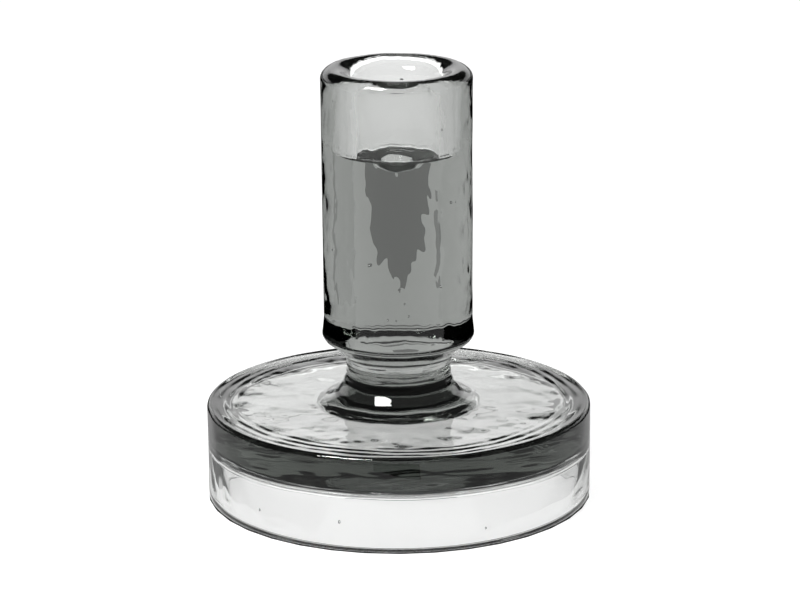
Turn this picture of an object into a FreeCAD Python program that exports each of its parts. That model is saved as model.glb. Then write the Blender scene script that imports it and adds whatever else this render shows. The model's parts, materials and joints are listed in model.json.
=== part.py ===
import FreeCAD, Part
import math
import os

# Glass candlestick, pressed in smoke-grey glass. All sizes are in millimetres.
#
# The candlestick is round about the Z axis. It stands on z = 0, and the origin
# is the centre of the circle that it stands on. It is five pieces of glass,
# welded hot in a stack with no fastener or glue. From the top down:
#
#   candle_cup   thick tube with a rounded lip and the straight candle bore
#   column       solid drum with a dished top, a shoulder and a hollow underside
#   neck         waist under the column, which flares out on to the foot
#   foot_plate   thick disc, hollowed underneath
#   foot_skirt   ring wall that the candlestick stands on
#
# Each piece is one closed outline in the half plane of radius and height,
# turned once about the axis. Pieces meet on flat faces, where they are welded.

# ---------------------------------------------------------------- overall size
overall_height = 118.7
foot_diameter = 105.0
foot_height = 25.9

# ------------------------------------------------------------------ candle cup
candle_diameter = 22.0          # common taper candle
candle_slack = 0.2              # all round the candle
bore_depth = 23.2
mouth_rounding = 5.8            # bell mouth, from the lip into the bore
lip_rounding = 3.2              # outer edge of the lip
lip_diameter = 41.0

# ---------------------------------------------------------------------- column
column_foot_diameter = 40.6     # the mould's draft narrows it downwards
shoulder_diameter = 41.4        # slight swelling just above the shoulder
shoulder_height = 45.1
swelling_length = 4.4
shoulder_rounding = 2.3
underside_slope = 37.0          # degrees above level, under the shoulder
underside_rounding = 6.0        # hollow, from the underside into the waist
floor_rounding = 0.7            # where the bore's wall meets its floor
floor_slope = 9.0               # degrees, of the bore's floor towards its middle
pit_diameter = 9.2              # mark of the plunger in the middle of the floor
pit_depth = 4.4                 # below the foot of the bore's wall

# ------------------------------------------------------------------------ neck
waist_diameter = 28.2
flare_radius = 9.5
flare_toe_height = 0.6          # lowest part of the flare, pressed with the plate

# ------------------------------------------------------------------------ foot
plate_thickness = 10.4
rim_rounding = 1.3
skirt_thickness = 3.8
cavity_rounding = 3.0           # between the plate's underside and the wall
rest_outer_rounding = 0.9
rest_inner_rounding = 1.6

# ------------------------------------------------------- sizes worked out above
bore_radius = candle_diameter / 2 + candle_slack
bore_floor = overall_height - bore_depth
lip_radius = lip_diameter / 2
lip_side_top = overall_height - lip_rounding
mouth_foot = overall_height - mouth_rounding

column_foot_radius = column_foot_diameter / 2
column_foot_height = shoulder_height + swelling_length
draft = (lip_radius - column_foot_radius) / (lip_side_top - column_foot_height)
column_top_radius = column_foot_radius + draft * (bore_floor - column_foot_height)

shoulder_radius = shoulder_diameter / 2
shoulder_centre = (shoulder_radius - shoulder_rounding, shoulder_height)
waist_radius = waist_diameter / 2
pit_radius = pit_diameter / 2

foot_radius = foot_diameter / 2
cavity_radius = foot_radius - skirt_thickness
plate_underside = foot_height - plate_thickness
skirt_height = plate_underside - cavity_rounding
flare_centre = (waist_radius + flare_radius, foot_height + flare_radius)
flare_seam_height = foot_height + flare_toe_height


def point(radius, height):
    """A point of an outline, in the plane y = 0."""
    return FreeCAD.Vector(radius, 0, height)


def on_circle(centre, radius, degrees):
    """Radius and height of a point on a circle; 0 degrees is outwards, 90 is up."""
    angle = math.radians(degrees)
    return centre[0] + radius * math.cos(angle), centre[1] + radius * math.sin(angle)


underside_top = on_circle(shoulder_centre, shoulder_rounding, underside_slope - 90)
underside_foot_radius = waist_radius + underside_rounding * (
    1 - math.sin(math.radians(underside_slope)))
underside_foot_height = underside_top[1] - math.tan(math.radians(underside_slope)) * (
    underside_top[0] - underside_foot_radius)
weld_height = underside_foot_height - underside_rounding * math.cos(math.radians(underside_slope))
hollow_centre = (waist_radius + underside_rounding, weld_height)


class Outline:
    """Half section of a round piece: straight and round edges, end to end."""

    def __init__(self, radius, height):
        self.first = (radius, height)
        self.last = self.first
        self.edges = []

    def line(self, radius, height):
        """Straight edge to a point."""
        self.edges.append(Part.LineSegment(point(*self.last), point(radius, height)).toShape())
        self.last = (radius, height)
        return self

    def round(self, centre, radius, start, end):
        """Round edge about a centre, from one angle to another, in degrees."""
        middle = on_circle(centre, radius, (start + end) / 2)
        finish = on_circle(centre, radius, end)
        self.edges.append(Part.Arc(point(*self.last), point(*middle), point(*finish)).toShape())
        self.last = finish
        return self

    def turned(self):
        """Close the outline and turn it once about the axis into a solid."""
        self.line(*self.first)
        face = Part.Face(Part.Wire(self.edges))
        solid = face.revolve(point(0, 0), FreeCAD.Vector(0, 0, 1), 360)
        if solid.ShapeType != "Solid":
            solid = solid.Solids[0]
        return solid


def candle_cup():
    """Thick tube: the candle bore goes right through it, and the column closes it below."""
    outline = Outline(bore_radius, bore_floor)
    outline.line(column_top_radius, bore_floor)
    outline.line(lip_radius, lip_side_top)
    outline.round((lip_radius - lip_rounding, lip_side_top), lip_rounding, 0, 90)
    outline.line(bore_radius + mouth_rounding, overall_height)
    outline.round((bore_radius + mouth_rounding, mouth_foot), mouth_rounding, 90, 180)
    return outline.turned()


def column():
    """Solid drum. Its dished top is the bore's floor, and its foot stands on the neck."""
    floor_centre = (bore_radius - floor_rounding, bore_floor)
    floor_edge = on_circle(floor_centre, floor_rounding, floor_slope - 90)
    pit_edge = floor_edge[1] - math.tan(math.radians(floor_slope)) * (floor_edge[0] - pit_radius)
    pit_drop = pit_edge - (bore_floor - pit_depth)
    pit_ball = (pit_radius ** 2 + pit_drop ** 2) / (2 * pit_drop)
    pit_centre = (0, pit_edge - pit_drop + pit_ball)
    pit_edge_angle = -math.degrees(math.acos(pit_radius / pit_ball))

    outline = Outline(0, weld_height)
    outline.line(waist_radius, weld_height)
    outline.round(hollow_centre, underside_rounding, 180, 90 + underside_slope)
    outline.line(*underside_top)
    outline.round(shoulder_centre, shoulder_rounding, underside_slope - 90, 0)
    outline.line(column_foot_radius, column_foot_height)
    outline.line(column_top_radius, bore_floor)
    outline.line(bore_radius, bore_floor)
    outline.round(floor_centre, floor_rounding, 0, floor_slope - 90)
    outline.line(pit_radius, pit_edge)
    outline.round(pit_centre, pit_ball, pit_edge_angle, -90)
    return outline.turned()


def neck():
    """Waist under the column, flaring out over the foot."""
    waist_foot = flare_centre[1]
    toe_angle = 180 + math.degrees(math.asin((waist_foot - flare_seam_height) / flare_radius))
    toe = on_circle(flare_centre, flare_radius, toe_angle)

    outline = Outline(0, flare_seam_height)
    outline.line(*toe)
    outline.round(flare_centre, flare_radius, toe_angle, 180)
    outline.line(waist_radius, weld_height)
    outline.line(0, weld_height)
    return outline.turned()


def foot_plate():
    """Thick disc with a rounded rim, the toe of the flare on top and a short wall below."""
    toe_angle = 180 + math.degrees(math.asin((flare_centre[1] - flare_seam_height) / flare_radius))

    outline = Outline(0, plate_underside)
    outline.line(cavity_radius - cavity_rounding, plate_underside)
    outline.round((cavity_radius - cavity_rounding, skirt_height), cavity_rounding, 90, 0)
    outline.line(foot_radius, skirt_height)
    outline.line(foot_radius, foot_height - rim_rounding)
    outline.round((foot_radius - rim_rounding, foot_height - rim_rounding), rim_rounding, 0, 90)
    outline.line(flare_centre[0], foot_height)
    outline.round(flare_centre, flare_radius, 270, toe_angle)
    outline.line(0, flare_seam_height)
    return outline.turned()


def foot_skirt():
    """Ring wall under the plate, with a narrow flat edge to stand on."""
    outline = Outline(cavity_radius, skirt_height)
    outline.line(cavity_radius, rest_inner_rounding)
    outline.round((cavity_radius + rest_inner_rounding, rest_inner_rounding),
                  rest_inner_rounding, 180, 270)
    outline.line(foot_radius - rest_outer_rounding, 0)
    outline.round((foot_radius - rest_outer_rounding, rest_outer_rounding),
                  rest_outer_rounding, -90, 0)
    outline.line(foot_radius, skirt_height)
    return outline.turned()


os.makedirs("parts", exist_ok=True)
for make in (candle_cup, column, neck, foot_plate, foot_skirt):
    piece = make()
    if not piece.isValid():
        raise ValueError(make.__name__ + " is not a valid solid")
    piece.exportStep("parts/" + make.__name__ + ".step")
    print(make.__name__, "volume", round(piece.Volume / 1000, 2), "cm3")
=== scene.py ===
import json
import math

import bpy
import numpy as np
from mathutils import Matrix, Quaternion, Vector

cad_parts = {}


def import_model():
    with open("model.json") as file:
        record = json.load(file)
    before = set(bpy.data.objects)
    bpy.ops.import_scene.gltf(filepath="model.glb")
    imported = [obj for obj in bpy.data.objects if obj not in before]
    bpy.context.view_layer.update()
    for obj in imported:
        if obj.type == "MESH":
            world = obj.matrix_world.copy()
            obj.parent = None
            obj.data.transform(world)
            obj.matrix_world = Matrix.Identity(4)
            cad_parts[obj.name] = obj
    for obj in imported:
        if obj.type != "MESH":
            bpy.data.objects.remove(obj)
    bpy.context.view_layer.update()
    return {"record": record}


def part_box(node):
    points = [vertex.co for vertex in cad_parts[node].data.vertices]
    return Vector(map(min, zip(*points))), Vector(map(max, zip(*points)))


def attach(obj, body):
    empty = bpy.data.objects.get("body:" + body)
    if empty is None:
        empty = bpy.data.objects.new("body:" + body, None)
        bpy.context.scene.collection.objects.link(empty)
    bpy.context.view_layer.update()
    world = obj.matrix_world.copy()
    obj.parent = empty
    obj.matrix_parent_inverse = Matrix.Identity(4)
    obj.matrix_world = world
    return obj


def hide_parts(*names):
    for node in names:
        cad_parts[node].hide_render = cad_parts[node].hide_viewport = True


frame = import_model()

# Glass candlestick. Lengths are in metres, in the CAD's frame: +Z is up, and the
# candlestick stands on z = 0 about the Z axis. Each CAD node is replaced by one
# closed glass piece, turned about the axis from its outline and rippled slightly.

MM = 0.001

# ------------------------------------------------------------ places, from the frame
cup_low, cup_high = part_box("candle_cup")
column_low, column_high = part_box("column")
neck_low, neck_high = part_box("neck")
plate_low, plate_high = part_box("foot_plate")
skirt_low, skirt_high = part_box("foot_skirt")
bore = next(m for m in frame["record"]["mounts"] if m["kind"] == "bore")

TOP = cup_high.z
LIP_RADIUS = cup_high.x
BORE_FLOOR = cup_low.z
BORE_RADIUS = bore["dims"]["r_mm"] * MM
SHOULDER_RADIUS = column_high.x
WELD = column_low.z
FOOT_RADIUS = plate_high.x
FLARE_SEAM = plate_high.z
SKIRT_TOP = skirt_high.z

# ---------------------------------------------------- roundings the boxes don't tell
LIP_ROUNDING = 3.2 * MM
MOUTH_ROUNDING = 5.8 * MM
COLUMN_FOOT_RADIUS = SHOULDER_RADIUS - 0.4 * MM
SWELLING_LENGTH = 4.4 * MM
SHOULDER_ROUNDING = 2.3 * MM
SHOULDER_HEIGHT = 45.1 * MM
UNDERSIDE_SLOPE = math.radians(37)
UNDERSIDE_ROUNDING = 6.0 * MM
FLOOR_ROUNDING = 0.7 * MM
FLOOR_SLOPE = math.radians(9)
PIT_RADIUS = 4.6 * MM
PIT_DEPTH = 4.4 * MM
WAIST_RADIUS = 14.1 * MM
FLARE_RADIUS = 9.5 * MM
FLARE_TOE = 0.6 * MM
RIM_ROUNDING = 1.3 * MM
WALL = 3.8 * MM
CAVITY_ROUNDING = 3.0 * MM
REST_OUTER_ROUNDING = 0.9 * MM
REST_INNER_ROUNDING = 1.6 * MM
LIP_LEAN = 1.0 * MM         # the lip is this much lower in front than behind

PLATE_TOP = FLARE_SEAM - FLARE_TOE
PLATE_UNDERSIDE = SKIRT_TOP + CAVITY_ROUNDING
CAVITY_RADIUS = FOOT_RADIUS - WALL
FLARE_CENTRE = (WAIST_RADIUS + FLARE_RADIUS, PLATE_TOP + FLARE_RADIUS)

WELD_GAP = 0.004 * MM       # keeps the welded faces of two pieces from lying in one plane
LONGEST_STEP = 0.6 * MM     # along a straight part of an outline
BORE_STEP = 0.25 * MM       # the same, on the bore's wall
DISH_STEP = 0.15 * MM       # the same, on the bore's dished floor
ROUND_STEP = math.radians(2.5)
TURN_STEPS = 288            # round the axis
SHARP_ANGLE = math.radians(35)

GLASS_IOR = 1.5
GLASS_DENSITY = 35.0        # absorption per metre


# ------------------------------------------------------------------ outlines
class Outline:
    """Half section of a round piece, as points of radius and height. Each step
    between points is glass against air, or welded to the next piece."""

    def __init__(self, radius, height):
        self.points = [(radius, height)]
        self.welded = []

    def line(self, radius, height, welded=False, longest=LONGEST_STEP):
        start = self.points[-1]
        count = max(1, math.ceil(math.hypot(radius - start[0], height - start[1]) / longest))
        for i in range(1, count + 1):
            share = i / count
            self.points.append((start[0] + (radius - start[0]) * share,
                                start[1] + (height - start[1]) * share))
            self.welded.append(welded)
        return self

    def round(self, centre, radius, start, end):
        count = max(2, math.ceil(abs(end - start) / ROUND_STEP))
        for i in range(1, count + 1):
            angle = start + (end - start) * i / count
            self.points.append((centre[0] + radius * math.cos(angle),
                                centre[1] + radius * math.sin(angle)))
            self.welded.append(False)
        return self

    def close(self, welded=False):
        return self.line(*self.points[0], welded=welded)


def column_radius(height):
    """The drum's radius, which the mould's draft narrows downwards."""
    foot = SHOULDER_HEIGHT + SWELLING_LENGTH
    share = (height - foot) / (TOP - LIP_ROUNDING - foot)
    return COLUMN_FOOT_RADIUS + (LIP_RADIUS - COLUMN_FOOT_RADIUS) * share


def cup_outline():
    low = BORE_FLOOR + WELD_GAP
    outline = Outline(BORE_RADIUS, low)
    outline.line(column_radius(low), low, welded=True)
    outline.line(LIP_RADIUS, TOP - LIP_ROUNDING)
    outline.round((LIP_RADIUS - LIP_ROUNDING, TOP - LIP_ROUNDING), LIP_ROUNDING, 0, math.pi / 2)
    outline.line(BORE_RADIUS + MOUTH_ROUNDING, TOP)
    outline.round((BORE_RADIUS + MOUTH_ROUNDING, TOP - MOUTH_ROUNDING), MOUTH_ROUNDING,
                  math.pi / 2, math.pi)
    return outline.line(BORE_RADIUS, low, longest=BORE_STEP)


def column_outline():
    low = WELD + WELD_GAP
    centre = (SHOULDER_RADIUS - SHOULDER_ROUNDING, SHOULDER_HEIGHT)
    underside_top = (centre[0] + SHOULDER_ROUNDING * math.sin(UNDERSIDE_SLOPE),
                     centre[1] - SHOULDER_ROUNDING * math.cos(UNDERSIDE_SLOPE))
    foot = SHOULDER_HEIGHT + SWELLING_LENGTH
    floor_centre = (BORE_RADIUS - FLOOR_ROUNDING, BORE_FLOOR)
    floor_edge = (floor_centre[0] + FLOOR_ROUNDING * math.sin(FLOOR_SLOPE),
                  floor_centre[1] - FLOOR_ROUNDING * math.cos(FLOOR_SLOPE))
    pit_edge = floor_edge[1] - math.tan(FLOOR_SLOPE) * (floor_edge[0] - PIT_RADIUS)
    drop = pit_edge - (BORE_FLOOR - PIT_DEPTH)
    ball = (PIT_RADIUS ** 2 + drop ** 2) / (2 * drop)
    outline = Outline(0, low)
    outline.line(WAIST_RADIUS, low, welded=True)
    outline.round((WAIST_RADIUS + UNDERSIDE_ROUNDING, low), UNDERSIDE_ROUNDING,
                  math.pi, math.pi / 2 + UNDERSIDE_SLOPE)
    outline.line(*underside_top)
    outline.round(centre, SHOULDER_ROUNDING, UNDERSIDE_SLOPE - math.pi / 2, 0)
    outline.line(column_radius(foot), foot)
    outline.line(column_radius(BORE_FLOOR), BORE_FLOOR)
    outline.line(BORE_RADIUS, BORE_FLOOR, welded=True)
    outline.round(floor_centre, FLOOR_ROUNDING, 0, FLOOR_SLOPE - math.pi / 2)
    outline.line(PIT_RADIUS, pit_edge, longest=DISH_STEP)
    outline.round((0, pit_edge - drop + ball), ball, -math.acos(PIT_RADIUS / ball), -math.pi / 2)
    outline.points[-1] = (0, outline.points[-1][1])
    return outline


def neck_outline():
    low = FLARE_SEAM + WELD_GAP
    toe = math.pi + math.asin((FLARE_CENTRE[1] - low) / FLARE_RADIUS)
    outline = Outline(0, low)
    outline.line(FLARE_CENTRE[0] + FLARE_RADIUS * math.cos(toe), low, welded=True)
    outline.round(FLARE_CENTRE, FLARE_RADIUS, toe, math.pi)
    outline.line(WAIST_RADIUS, WELD)
    outline.line(0, WELD, welded=True)
    return outline


def plate_outline():
    toe = math.pi + math.asin((FLARE_CENTRE[1] - FLARE_SEAM) / FLARE_RADIUS)
    low = SKIRT_TOP + WELD_GAP
    outline = Outline(0, PLATE_UNDERSIDE)
    outline.line(CAVITY_RADIUS - CAVITY_ROUNDING, PLATE_UNDERSIDE)
    outline.round((CAVITY_RADIUS - CAVITY_ROUNDING, SKIRT_TOP), CAVITY_ROUNDING, math.pi / 2, 0)
    outline.points[-1] = (CAVITY_RADIUS, low)
    outline.line(FOOT_RADIUS, low, welded=True)
    outline.line(FOOT_RADIUS, PLATE_TOP - RIM_ROUNDING)
    outline.round((FOOT_RADIUS - RIM_ROUNDING, PLATE_TOP - RIM_ROUNDING), RIM_ROUNDING, 0, math.pi / 2)
    outline.line(FLARE_CENTRE[0], PLATE_TOP)
    outline.round(FLARE_CENTRE, FLARE_RADIUS, 1.5 * math.pi, toe)
    outline.line(0, FLARE_SEAM, welded=True)
    return outline


def skirt_outline():
    outline = Outline(CAVITY_RADIUS, SKIRT_TOP)
    outline.line(CAVITY_RADIUS, REST_INNER_ROUNDING)
    outline.round((CAVITY_RADIUS + REST_INNER_ROUNDING, REST_INNER_ROUNDING), REST_INNER_ROUNDING,
                  math.pi, 1.5 * math.pi)
    outline.line(FOOT_RADIUS - REST_OUTER_ROUNDING, 0)
    outline.round((FOOT_RADIUS - REST_OUTER_ROUNDING, REST_OUTER_ROUNDING), REST_OUTER_ROUNDING,
                  -math.pi / 2, 0)
    outline.line(FOOT_RADIUS, SKIRT_TOP)
    return outline.close(welded=True)


# ------------------------------------------------------------ marks of the making
def rise(value, low, high):
    """0 below low, 1 above high, and smooth between."""
    share = np.clip((value - low) / (high - low), 0, 1)
    return share * share * (3 - 2 * share)


def within(value, low, low_full, high_full, high):
    """1 between the two full values, 0 outside low and high, and smooth between."""
    return rise(value, low, low_full) * (1 - rise(value, high_full, high))


def waves(points, length, upright, seed, count=24):
    """Smooth random field with a spread of about 1. The waves are about one length
    from crest to crest, and as many times longer upwards as upright says."""
    rng = np.random.default_rng(seed)
    heading = rng.uniform(0, 2 * math.pi, count)
    number = 2 * math.pi / (length * rng.uniform(0.7, 1.7, count))
    k = np.stack([np.cos(heading), np.sin(heading), rng.normal(0, 1 / upright, count)], 1)
    phase = rng.uniform(0, 2 * math.pi, count)
    return np.cos(points @ (k * number[:, None]).T + phase).sum(1) / math.sqrt(count / 2)


# height, width and swell in mm of the beads round the waist, where the glass was joined hot
WAIST_BEADS = (
    (36.1, 0.45, 0.2),
    (37.6, 0.4, 0.08),
    (34.2, 0.5, 0.08),
    (32.1, 0.5, 0.06),
)

# place around the drum in degrees, width and swell in mm, and seed of each upright ridge
DRUM_RIDGES = (
    (227, 0.5, 0.07, 21),
    (236, 0.35, 0.06, 29),
    (302, 0.35, 0.05, 30),
    (245, 0.4, 0.06, 22),
    (249, 0.3, 0.04, 23),
    (319, 0.5, 0.06, 24),
    (46, 0.5, 0.07, 25),
    (71, 0.4, 0.05, 26),
    (118, 0.5, 0.06, 27),
    (158, 0.4, 0.06, 28),
)


def ripple(points):
    """Points of the ideal shape, moved to where the pressed glass has them. What moves a
    point depends on its place only, so welded pieces still meet."""
    height = points[:, 2]
    radius = np.hypot(points[:, 0], points[:, 1])
    angle = np.arctan2(points[:, 1], points[:, 0])
    out = np.zeros(len(points))
    up = np.zeros(len(points))

    # drum and the bore inside it
    drum = within(height, 44 * MM, 49 * MM, TOP - 3.5 * MM, TOP - 1 * MM)
    wall = drum * rise(radius, 13 * MM, 19 * MM)
    streaks = 0.045 * MM * waves(points, 9 * MM, 4, 3) + 0.018 * MM * waves(points, 3 * MM, 3, 4)
    calm = rise(-np.cos(angle), 0.8, 1.0)
    streaks *= 1 - 0.8 * calm
    out += wall * (np.clip(streaks, -0.12 * MM, 0.12 * MM) - 0.12 * MM)
    for place, width, swell, seed in DRUM_RIDGES:
        turn = (angle - math.radians(place) + math.pi) % (2 * math.pi) - math.pi
        across = turn * LIP_RADIUS / (width * MM)
        broken = 0.6 + 0.4 * waves(points, 14 * MM, 0.5, seed, 8)
        out += wall * swell * MM * np.exp(-across ** 2) * np.clip(broken, 0, 1)
    inner = drum * within(radius, 9 * MM, 11 * MM, 12 * MM, 14 * MM)
    out += inner * 0.03 * MM * waves(points, 6 * MM, 3, 5)
    out += inner * 0.07 * MM * np.exp(-((height - BORE_FLOOR - 0.2 * MM) / (0.3 * MM)) ** 2)

    # lip, which leans forward, and the bore's dished floor
    lip = rise(height, TOP - 3 * MM, TOP - 1 * MM)
    up += lip * (0.04 * MM * np.clip(waves(points, 12 * MM, 4, 6), -2.5, 2.5) - 0.1 * MM)
    front = np.cos(angle + math.pi / 2)
    lean = LIP_LEAN / 2 * (1 + front * radius / LIP_RADIUS)
    up -= rise(height, TOP - 10 * MM, TOP - 2 * MM) * lean
    dish = (1 - rise(radius, 9.5 * MM, 12 * MM)) * within(height, 89 * MM, 91 * MM,
                                                          95.5 * MM, 98 * MM)
    up += dish * (0.015 * MM * np.sin(radius / (0.21 * MM) + 2 * angle)
                  + 0.02 * MM * waves(points, 4 * MM, 3, 7))

    # neck
    neck = within(height, 26 * MM, 29 * MM, 43 * MM, 45 * MM)
    out += neck * (0.05 * MM * np.sin(height / (0.42 * MM) + 0.4 * waves(points, 20 * MM, 2, 8))
                   + 0.05 * MM * waves(points, 9 * MM, 1, 9))
    for place, width, swell in WAIST_BEADS:
        bead = np.exp(-((height - place * MM) / (width * MM)) ** 2)
        out += bead * swell * MM * within(radius, 11 * MM, 13 * MM, 17 * MM, 19 * MM)

    # foot: the plate's top and underside, and the outer side
    foot = 1 - rise(height, 26.2 * MM, 28.5 * MM)
    top = foot * rise(height, 22 * MM, 25 * MM) * (1 - rise(radius, 50 * MM, 52 * MM))
    under = within(height, 14.5 * MM, 15.4 * MM, 17 * MM, 19 * MM) * (
        1 - rise(radius, 45 * MM, 47 * MM))
    rough = (0.3 + 0.8 * within(radius, 30 * MM, 42 * MM, 43 * MM, 46 * MM)
             + 0.8 * rise(front, 0.3, 1.0) * rise(radius, 28 * MM, 38 * MM))
    swirl = rough * (0.05 * MM * waves(points, 11 * MM, 3, 10)
                     + 0.014 * MM * waves(points, 4 * MM, 3, 11))
    rings = rise(radius, 42 * MM, 45 * MM) * 0.085 * MM * np.sin(
        radius / (0.45 * MM) + waves(points, 40 * MM, 3, 14))
    up += top * (np.clip(swirl + rings, -0.18 * MM, 0.18 * MM) - 0.18 * MM)
    up += under * 0.02 * MM * waves(points, 10 * MM, 3, 12)
    side = foot * rise(radius, 46 * MM, 48 * MM) * rise(height, 1.5 * MM, 4 * MM)
    out += side * (np.clip(0.04 * MM * waves(points, 14 * MM, 1.5, 13), -0.1 * MM, 0.1 * MM)
                   - 0.1 * MM)

    moved = points.copy()
    safe = np.maximum(radius, 1e-9)
    moved[:, 0] += out * points[:, 0] / safe * (radius > 1e-7)
    moved[:, 1] += out * points[:, 1] / safe * (radius > 1e-7)
    moved[:, 2] += up
    return moved


# seeds are small bubbles in the glass: piece, radius, azimuth in degrees, height and size in mm
SEEDS = (
    ("column", 9.0, 229, 66.5, 0.34), ("column", 17.5, 203, 70.0, 0.22),
    ("column", 12.0, 321, 60.5, 0.36), ("column", 6.5, 290, 52.2, 0.26),
    ("column", 4.0, 262, 50.6, 0.22), ("column", 7.0, 251, 51.3, 0.24),
    ("column", 2.5, 300, 54.9, 0.24), ("column", 14.0, 318, 45.6, 0.3),
    ("column", 10.5, 40, 81.0, 0.28), ("column", 13.5, 148, 57.0, 0.3),
    ("column", 8.0, 97, 63.0, 0.22), ("candle_cup", 16.2, 312, 104.0, 0.24),
    ("candle_cup", 15.4, 132, 108.0, 0.22), ("foot_skirt", 50.6, 224, 6.4, 0.3),
    ("foot_skirt", 50.2, 252, 7.4, 0.36), ("foot_skirt", 50.8, 296, 4.6, 0.26),
    ("foot_skirt", 50.5, 15, 6.0, 0.3), ("foot_skirt", 50.5, 110, 5.2, 0.26),
    ("foot_plate", 33.0, 205, 20.5, 0.3), ("foot_plate", 38.0, 330, 21.0, 0.26),
    ("foot_plate", 29.0, 80, 19.8, 0.28),
)


def add_seeds(name, vertices, faces, seams):
    """Hollow bubbles, a little longer upwards than across, facing into their own air."""
    around = 10
    rings = 6
    stretch = 1.4
    for piece, radius, azimuth, height, size in SEEDS:
        if piece + "_glass" != name:
            continue
        middle = (radius * MM * math.cos(math.radians(azimuth)),
                  radius * MM * math.sin(math.radians(azimuth)), height * MM)
        first = len(vertices)
        vertices.append((middle[0], middle[1], middle[2] - stretch * size * MM))
        for j in range(1, rings):
            fall = math.pi * j / rings
            for i in range(around):
                turn = 2 * math.pi * i / around
                vertices.append((middle[0] + size * MM * math.sin(fall) * math.cos(turn),
                                 middle[1] + size * MM * math.sin(fall) * math.sin(turn),
                                 middle[2] - stretch * size * MM * math.cos(fall)))
        vertices.append((middle[0], middle[1], middle[2] + stretch * size * MM))
        last = len(vertices) - 1
        for i in range(around):
            k = (i + 1) % around
            faces.append([first, first + 1 + i, first + 1 + k])
            faces.append([last, last - around + k, last - around + i])
            for j in range(rings - 2):
                a = first + 1 + j * around
                faces.append([a + i, a + around + i, a + around + k, a + k])
        seams.extend([False] * (len(faces) - len(seams)))


# -------------------------------------------------------------------- meshes
def turned(name, outline):
    """Mesh of an outline turned once about the axis, with the marks of its making."""
    profile = np.array(outline.points)
    if np.allclose(profile[0], profile[-1]):
        profile = profile[:-1]
    angles = np.arange(TURN_STEPS) * 2 * math.pi / TURN_STEPS
    ring = np.stack([np.cos(angles), np.sin(angles)], 1)
    vertices = []
    index = []
    for radius, height in profile:
        if radius < 1e-9:
            index.append([len(vertices)] * TURN_STEPS)
            vertices.append((0, 0, height))
        else:
            index.append(list(range(len(vertices), len(vertices) + TURN_STEPS)))
            vertices.extend((radius * c, radius * s, height) for c, s in ring)
    faces = []
    seams = []
    rows = len(profile)
    for j, welded in enumerate(outline.welded):
        a = index[j]
        b = index[(j + 1) % rows]
        for i in range(TURN_STEPS):
            k = (i + 1) % TURN_STEPS
            corners = [a[i], a[k], b[k], b[i]]
            face = [v for n, v in enumerate(corners) if v not in corners[:n]]
            faces.append(face)
            seams.append(welded)
    add_seeds(name, vertices, faces, seams)
    mesh = bpy.data.meshes.new(name)
    mesh.from_pydata(ripple(np.array(vertices)).tolist(), [], faces)
    mesh.shade_smooth()
    ior = mesh.attributes.new("surface_ior", "FLOAT", "FACE")
    ior.data.foreach_set("value", np.where(seams, 1.0, GLASS_IOR).astype(np.float32))
    mesh.set_sharp_from_angle(angle=SHARP_ANGLE)
    mesh.update()
    piece = bpy.data.objects.new(name, mesh)
    bpy.context.scene.collection.objects.link(piece)
    return piece


# ----------------------------------------------------------------- materials


def smoke_glass():
    """Clear glass that takes up light on the way through it, so thick parts are darker.
    Welded faces don't bend light, because there is glass on both sides of them."""
    material = bpy.data.materials.new("smoke_glass")
    material.use_nodes = True
    nodes = material.node_tree.nodes
    links = material.node_tree.links
    shader = nodes["Principled BSDF"]
    shader.inputs["Base Color"].default_value = (1, 1, 1, 1)
    shader.inputs["Roughness"].default_value = 0.0
    shader.inputs["Transmission Weight"].default_value = 1.0
    ior = nodes.new("ShaderNodeAttribute")
    ior.attribute_name = "surface_ior"
    links.new(ior.outputs["Fac"], shader.inputs["IOR"])
    volume = nodes.new("ShaderNodeVolumeAbsorption")
    volume.inputs["Color"].default_value = (0.0, 0.03, 0.0, 1)
    volume.inputs["Density"].default_value = GLASS_DENSITY
    links.new(volume.outputs["Volume"], nodes["Material Output"].inputs["Volume"])
    return material


# --------------------------------------------------------------------- build
glass = smoke_glass()
for node, outline in (("candle_cup", cup_outline()), ("column", column_outline()),
                      ("neck", neck_outline()), ("foot_plate", plate_outline()),
                      ("foot_skirt", skirt_outline())):
    piece = turned(node + "_glass", outline)
    piece.data.materials.append(glass)
    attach(piece, "root")
    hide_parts(node)


# --------------------------------------------------------------------- stage
def floor():
    """Plain pale floor, with a glow of its own that keeps it even."""
    mesh = bpy.data.meshes.new("floor")
    half = 6.0
    mesh.from_pydata([(-half, -half, 0), (half, -half, 0), (half, half, 0), (-half, half, 0)], [],
                     [(0, 1, 2, 3)])
    piece = bpy.data.objects.new("floor", mesh)
    bpy.context.scene.collection.objects.link(piece)
    piece.location.z = -0.0002
    material = bpy.data.materials.new("floor")
    material.use_nodes = True
    shader = material.node_tree.nodes["Principled BSDF"]
    shader.inputs["Base Color"].default_value = (0.25, 0.25, 0.25, 1)
    shader.inputs["Roughness"].default_value = 0.5
    shader.inputs["Emission Color"].default_value = (1, 1, 1, 1)
    shader.inputs["Emission Strength"].default_value = 0.9
    mesh.materials.append(material)


def ranged(nodes, links, source, low, high, first, last):
    """Smooth change from one value to another as the source goes from low to high."""
    node = nodes.new("ShaderNodeMapRange")
    node.interpolation_type = "SMOOTHSTEP"
    node.inputs["From Min"].default_value = low
    node.inputs["From Max"].default_value = high
    node.inputs["To Min"].default_value = first
    node.inputs["To Max"].default_value = last
    links.new(source, node.inputs["Value"])
    return node.outputs["Result"]


def combined(nodes, links, operation, first, second):
    """Product or sum of two values."""
    node = nodes.new("ShaderNodeMath")
    node.operation = operation
    links.new(first, node.inputs[0])
    links.new(second, node.inputs[1])
    return node.outputs[0]


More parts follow.
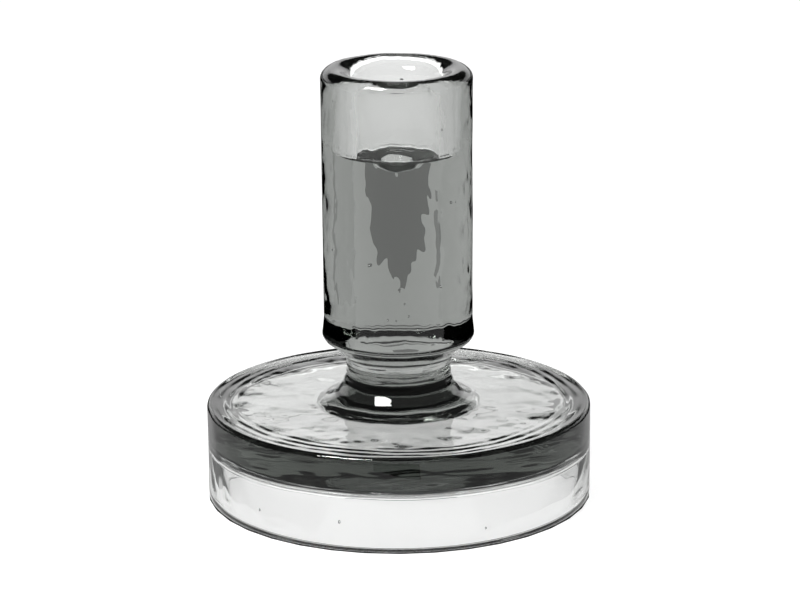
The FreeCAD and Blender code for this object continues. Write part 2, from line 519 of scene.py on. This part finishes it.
def world():
    """Plain white behind the candlestick. What the glass takes in from around it is a bright
    band low at the back, a dark ceiling, and dark grey in front."""
    surroundings = bpy.data.worlds.new("studio")
    bpy.context.scene.world = surroundings
    surroundings.use_nodes = True
    nodes = surroundings.node_tree.nodes
    links = surroundings.node_tree.links
    place = nodes.new("ShaderNodeTexCoord")
    split = nodes.new("ShaderNodeSeparateXYZ")
    links.new(place.outputs["Generated"], split.inputs[0])
    low = ranged(nodes, links, split.outputs["Z"], 0.05, 0.12, 0.1, 1.2)
    high = ranged(nodes, links, split.outputs["Z"], 0.3, 0.38, 1.0, 0.02)
    back = ranged(nodes, links, split.outputs["Y"], 0.35, 0.65, 0.05, 1.0)
    front = ranged(nodes, links, split.outputs["Y"], 0.35, 0.65, 0.06, 0.0)
    band = combined(nodes, links, "MULTIPLY", low, high)
    band = combined(nodes, links, "MULTIPLY", band, back)
    glow = combined(nodes, links, "ADD", band, front)
    light_path = nodes.new("ShaderNodeLightPath")
    seen = nodes.new("ShaderNodeMix")
    links.new(light_path.outputs["Is Camera Ray"], seen.inputs["Factor"])
    links.new(glow, seen.inputs["A"])
    seen.inputs["B"].default_value = 1.0
    links.new(seen.outputs["Result"], nodes["Background"].inputs["Strength"])
    nodes["Background"].inputs["Color"].default_value = (1, 1, 1, 1)


LYING_HEIGHT = 0.0002


def card(name, points, faces, glow, through=True):
    """Studio card, which the camera doesn't see by itself. Its glow, or its black, is painted
    light or shade that shows through the glass, or else as a painted reflection on it."""
    mesh = bpy.data.meshes.new(name)
    mesh.from_pydata(points, [], faces)
    piece = bpy.data.objects.new(name, mesh)
    bpy.context.scene.collection.objects.link(piece)
    material = bpy.data.materials.new(name)
    material.use_nodes = True
    shader = material.node_tree.nodes["Principled BSDF"]
    shader.inputs["Base Color"].default_value = (0, 0, 0, 1)
    shader.inputs["Roughness"].default_value = 1
    shader.inputs["Specular IOR Level"].default_value = 0
    shader.inputs["Emission Color"].default_value = (1, 1, 1, 1)
    shader.inputs["Emission Strength"].default_value = glow
    mesh.materials.append(material)
    piece.visible_camera = False
    piece.visible_diffuse = False
    piece.visible_glossy = not through
    piece.visible_transmission = through
    piece.visible_shadow = False
    return piece


def standing_card(name, azimuth, width, height, distance, glow, low=0.0005):
    """Upright card, curved about the candlestick. Azimuth and width are in degrees, and
    azimuth 0 is behind the candlestick."""
    steps = 8
    first = math.radians(azimuth - width / 2)
    turn = math.radians(width) / steps
    foot = [(distance * math.sin(first + turn * i), distance * math.cos(first + turn * i))
            for i in range(steps + 1)]
    points = [(x, y, low) for x, y in foot] + [(x, y, height) for x, y in foot]
    faces = [(i, i + 1, steps + 2 + i, steps + 1 + i) for i in range(steps)]
    card(name, points, faces, glow)


def lying_card(name, azimuth, width, near, far, glow, through=True):
    """Card on the floor, a sector of a ring about the candlestick. Azimuth and width are
    in degrees, and azimuth 0 is behind the candlestick."""
    steps = 36
    first = math.radians(azimuth - width / 2)
    turn = math.radians(width) / steps
    rays = [(math.sin(first + turn * i), math.cos(first + turn * i)) for i in range(steps + 1)]
    points = [(x * near, y * near, LYING_HEIGHT) for x, y in rays]
    points += [(x * far, y * far, LYING_HEIGHT) for x, y in rays]
    faces = [(i, i + 1, steps + 2 + i, steps + 1 + i) for i in range(steps)]
    return card(name, points, faces, glow, through)


def mirrored_card(name, right, glow):
    """Card on the floor behind the candlestick, from its right-hand edge."""
    points = [(x, y, LYING_HEIGHT) for x, y in right]
    points += [(-x, y, LYING_HEIGHT) for x, y in right[::-1]]
    return card(name, points, [tuple(range(len(points)))], glow)


def softbox(name, place, size, power):
    data = bpy.data.lights.new(name, "AREA")
    data.shape = "RECTANGLE"
    data.size = size
    data.size_y = size
    data.energy = power
    light = bpy.data.objects.new(name, data)
    bpy.context.scene.collection.objects.link(light)
    light.location = place
    light.rotation_euler = (Vector(AIM) - Vector(place)).to_track_quat("-Z", "Y").to_euler()


def camera():
    """Camera in front and a little above, with a long lens."""
    distance = 0.85
    elevation = math.radians(15.3)
    roll = math.radians(-0.4)
    data = bpy.data.cameras.new("camera")
    data.sensor_width = 36.0
    data.lens = 141.0615
    data.shift_x = 0.002625
    data.shift_y = -0.02775
    eye = bpy.data.objects.new("camera", data)
    bpy.context.scene.collection.objects.link(eye)
    eye.location = (0, -distance * math.cos(elevation), AIM[2] + distance * math.sin(elevation))
    eye.rotation_mode = "QUATERNION"
    pitch = Quaternion((1, 0, 0), math.pi / 2 - elevation)
    eye.rotation_quaternion = pitch @ Quaternion((0, 0, 1), roll)
    bpy.context.scene.camera = eye


AIM = (0, 0, 0.06)          # middle of the candlestick
floor()
world()

# painted shade from black cards that only the glass shows: thin dark lines along the sides of the
# column
lying_card("card_left", -92, 5, 0.15, 0.42, 0.0)
lying_card("card_right", 92, 9, 0.15, 0.42, 0.0)

# painted light from glowing cards that only the glass shows: soft upright streaks in the column
standing_card("strip_right", 33, 22, 0.06, 0.2, 1.05)
standing_card("strip_far_right", 41, 3, 0.06, 0.19, 0.75)
standing_card("strip_left", -19.6, 2.6, 0.03, 0.225, 0.65)

# painted light and shade from a glowing card, and a black card above it, that only the glass shows:
# light mouth and cup wall, and the darker floor of the bore
standing_card("card_low_behind_cup", 0, 110, 0.1035, 0.06, 1.12, low=0.084)
standing_card("card_behind_cup", 0, 110, 0.14, 0.06, 0.0, low=0.1035)

# painted shade from black cards on the floor that only the glass shows: dark sides of the foot
lying_card("floor_left", -97, 104, 0.06, 0.105, 0.0)
lying_card("floor_right", 97, 104, 0.06, 0.105, 0.0)

# painted reflection: the floor as the glass reflects it, darker than the floor itself, with a darker
# block in front of the plate's rim
lying_card("dark_surround", 0, 220, 0.14, 3.0, 0.0, through=False)
lying_card("grey_front", 180, 140, 0.14, 3.0, 0.6, through=False)
lying_card("grey_surround", 0, 360, 0.0535, 0.14, 0.5, through=False)
block = lying_card("dark_block", 180.5, 22, 0.113, 0.138, 0.0, through=False)
block.location.z = 0.0001

# contact shadow under the skirt, the only card that the camera sees
contact = lying_card("contact_shadow", 0, 360, 0.0497, 0.0526, 0.0)
contact.location.z = -0.0003
contact.visible_camera = True

# painted shade and light from cards on the floor behind, which only the glass shows: tapering dark
# patch in the column, dark flare, and light spot on the bore's floor
mirrored_card("back_patch", ((0.012, 0.225), (0.028, 0.25), (0.055, 0.28), (0.075, 0.31),
                             (0.1, 0.345), (0.12, 0.405)), 0.48)
mirrored_card("behind_flare", ((0.016, 0.054), (0.016, 0.091)), 0.2)
mirrored_card("bright_patch", ((0.042, 0.093), (0.042, 0.13)), 2.2)

softbox("key", (-0.75, -0.8, 1.4), 0.7, 45)
camera()

settings = bpy.context.scene
settings.view_settings.view_transform = "Standard"
settings.cycles.max_bounces = 48
settings.cycles.glossy_bounces = 48
settings.cycles.transmission_bounces = 48
settings.cycles.transparent_max_bounces = 48
settings.cycles.sample_clamp_indirect = 6
